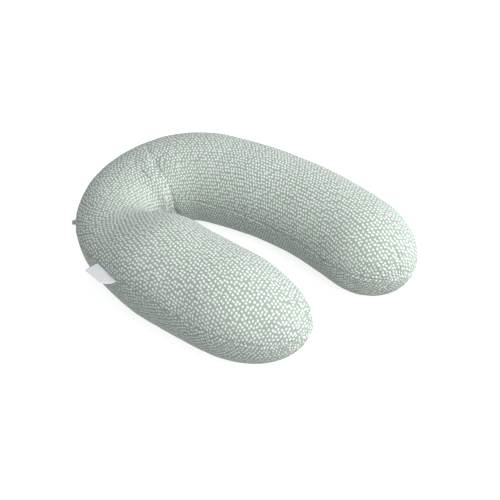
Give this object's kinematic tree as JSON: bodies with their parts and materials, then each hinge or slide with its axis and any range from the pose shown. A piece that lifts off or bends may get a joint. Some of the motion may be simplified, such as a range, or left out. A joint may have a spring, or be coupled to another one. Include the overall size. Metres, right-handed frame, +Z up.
{
  "type": "nursing pillow",
  "caption": "Long bead-filled pillow bent into a U around the waist, in a zipped printed cotton cover with a side label.",
  "frame": {"origin": "on the floor under the middle of the pillow's overall box", "axes": "+Z up off the floor, arms point to -Y, bend at +Y, left arm at -X"},
  "size_m": [0.5935, 0.7125, 0.2075],
  "materials": {
    "cover_fabric": "sage green cotton jersey with a small off-white grain print",
    "casing_fabric": "plain off-white calico",
    "bead_fill": "white foam micro-beads",
    "woven_label": "white satin-woven label",
    "care_label": "thin white satin",
    "zip_tape": "sage green woven tape",
    "zip_coil": "sage green nylon coil",
    "zip_metal": "satin nickel"
  },
  "bodies": {
    "left_half": {"cover_top_panel_left": "cover_fabric", "cover_bottom_panel_left": "cover_fabric", "casing_top_left": "casing_fabric", "casing_bottom_left": "casing_fabric", "bead_fill_left": "bead_fill", "side_tab": "cover_fabric", "care_label": "care_label"},
    "right_half": {"cover_top_panel_right": "cover_fabric", "cover_bottom_panel_right": "cover_fabric", "casing_top_right": "casing_fabric", "casing_bottom_right": "casing_fabric", "bead_fill_right": "bead_fill", "zip_tape_upper": "zip_tape", "zip_tape_lower": "zip_tape", "zip_coil_upper": "zip_coil", "zip_coil_lower": "zip_coil", "zip_stop_bend": "zip_metal", "zip_stop_tip": "zip_metal"},
    "side_label": {"side_label": "woven_label"},
    "zip_slider": {"zip_slider": "zip_metal"},
    "zip_pull": {"zip_pull": "zip_metal"}
  },
  "joints": [
    {"name": "bend_flex", "type": "hinge", "parent": "left_half", "child": "right_half", "pos_m": [0.05751, 0.35999, 0], "axis": [0, 0, 1], "range_deg": [-2.5, 35]},
    {"name": "zip_run", "type": "hinge", "parent": "right_half", "child": "zip_slider", "pos_m": [-0.51917, -0.06019, 0.098], "axis": [0, 0, 1], "range_deg": [0, 24.4]},
    {"name": "zip_pull_swing", "type": "hinge", "parent": "zip_slider", "child": "zip_pull", "pos_m": [0.28591, -0.21272, 0.098], "axis": [0, 0, -1], "range_deg": [0, 170]},
    {"name": "side_label_bend", "type": "hinge", "parent": "left_half", "child": "side_label", "pos_m": [-0.25738, 0.09086, 0.13409], "axis": [0.2401, 0.9708, 0], "range_deg": [-80, 80], "stiffness_Nm_per_rad": 0.004}
  ]
}
